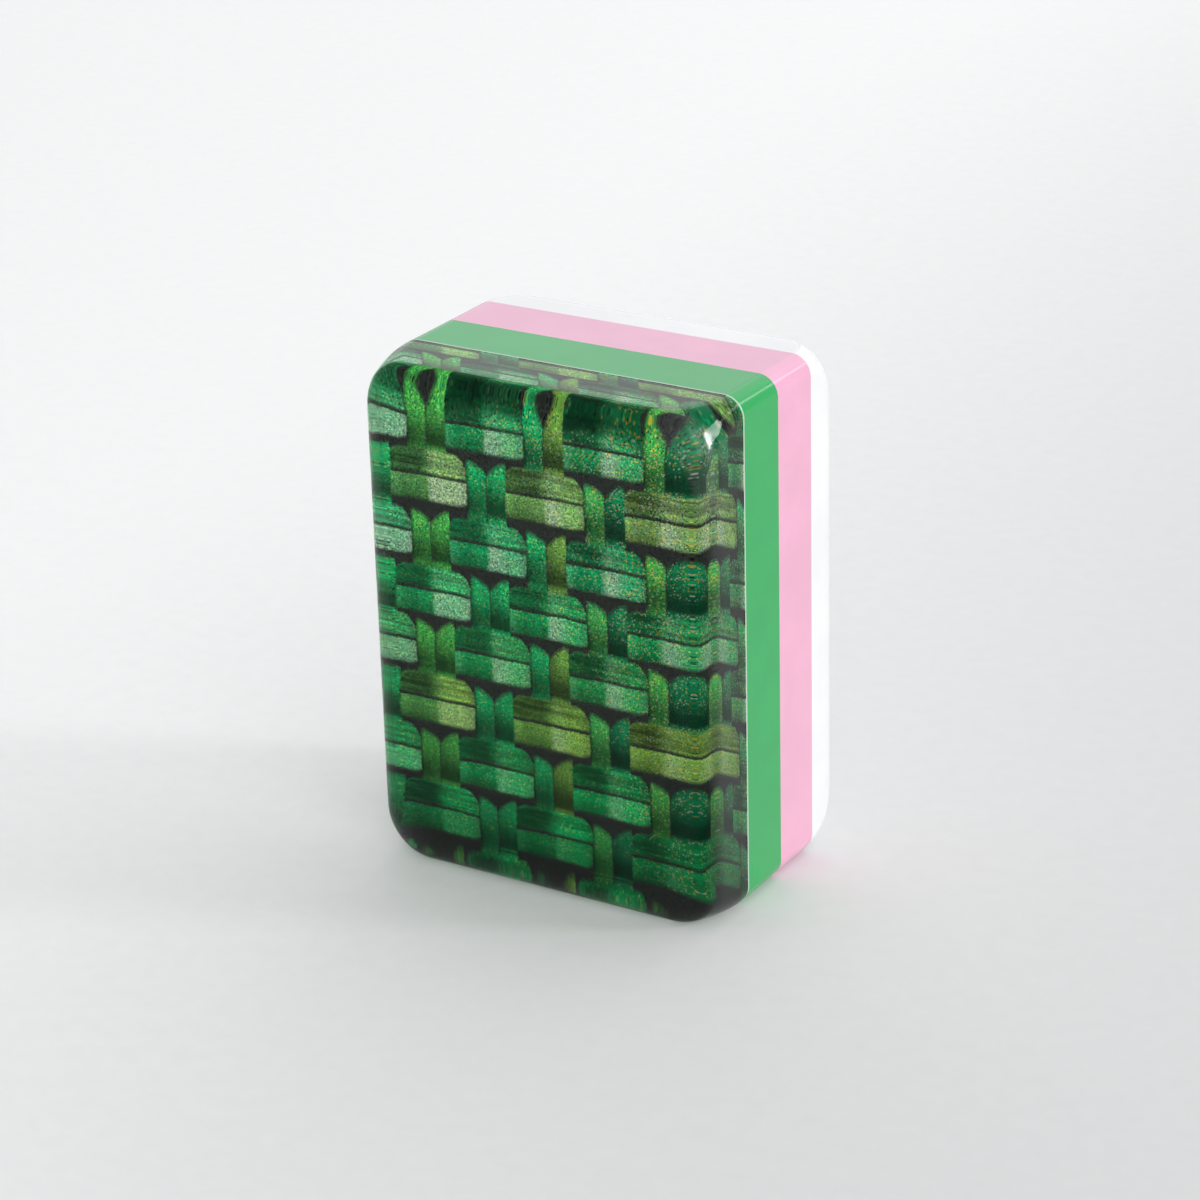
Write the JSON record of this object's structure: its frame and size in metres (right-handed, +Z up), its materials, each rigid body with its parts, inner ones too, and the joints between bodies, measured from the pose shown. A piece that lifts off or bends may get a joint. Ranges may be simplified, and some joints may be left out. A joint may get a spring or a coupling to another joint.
{
  "type": "mahjong tile",
  "caption": "Upright layered acrylic mahjong tile: a clear cap over a green basket-weave print, then green, pink and white sheets, with rounded edges and an engraved, painted face.",
  "frame": {"origin": "middle of the bottom short edge, half way through the tile's thickness, on the surface it stands on", "axes": "+Z up along the tile's height, +X along its width, -Y out of the printed back, +Y out of the engraved face"},
  "size_m": [0.0218, 0.0154, 0.03],
  "materials": {
    "clear_acrylic": "polished, clear",
    "print_ink": "printed film, green weave",
    "white_ink": "matt white ink",
    "clear_glue": "clear cured glue",
    "green_acrylic": "polished",
    "pink_acrylic": "polished",
    "white_acrylic": "polished",
    "paint_blue": "enamel paint",
    "paint_green": "enamel paint",
    "paint_red": "enamel paint"
  },
  "bodies": {
    "root": {"clear_cap": "clear_acrylic", "weave_print": "print_ink", "print_underbase": "white_ink", "cap_bond": "clear_glue", "green_layer": "green_acrylic", "green_pink_bond": "clear_glue", "pink_layer": "pink_acrylic", "pink_white_bond": "clear_glue", "white_face": "white_acrylic", "top_left_dot_ring": "paint_blue", "top_left_dot_petals": "paint_blue", "top_left_dot_core": "paint_red", "top_right_dot_ring": "paint_green", "top_right_dot_petals": "paint_green", "top_right_dot_core": "paint_red", "centre_dot_ring": "paint_red", "centre_dot_petals": "paint_red", "centre_dot_core": "paint_green", "bottom_left_dot_ring": "paint_green", "bottom_left_dot_petals": "paint_green", "bottom_left_dot_core": "paint_red", "bottom_right_dot_ring": "paint_blue", "bottom_right_dot_petals": "paint_blue", "bottom_right_dot_core": "paint_red"}
  },
  "joints": []
}
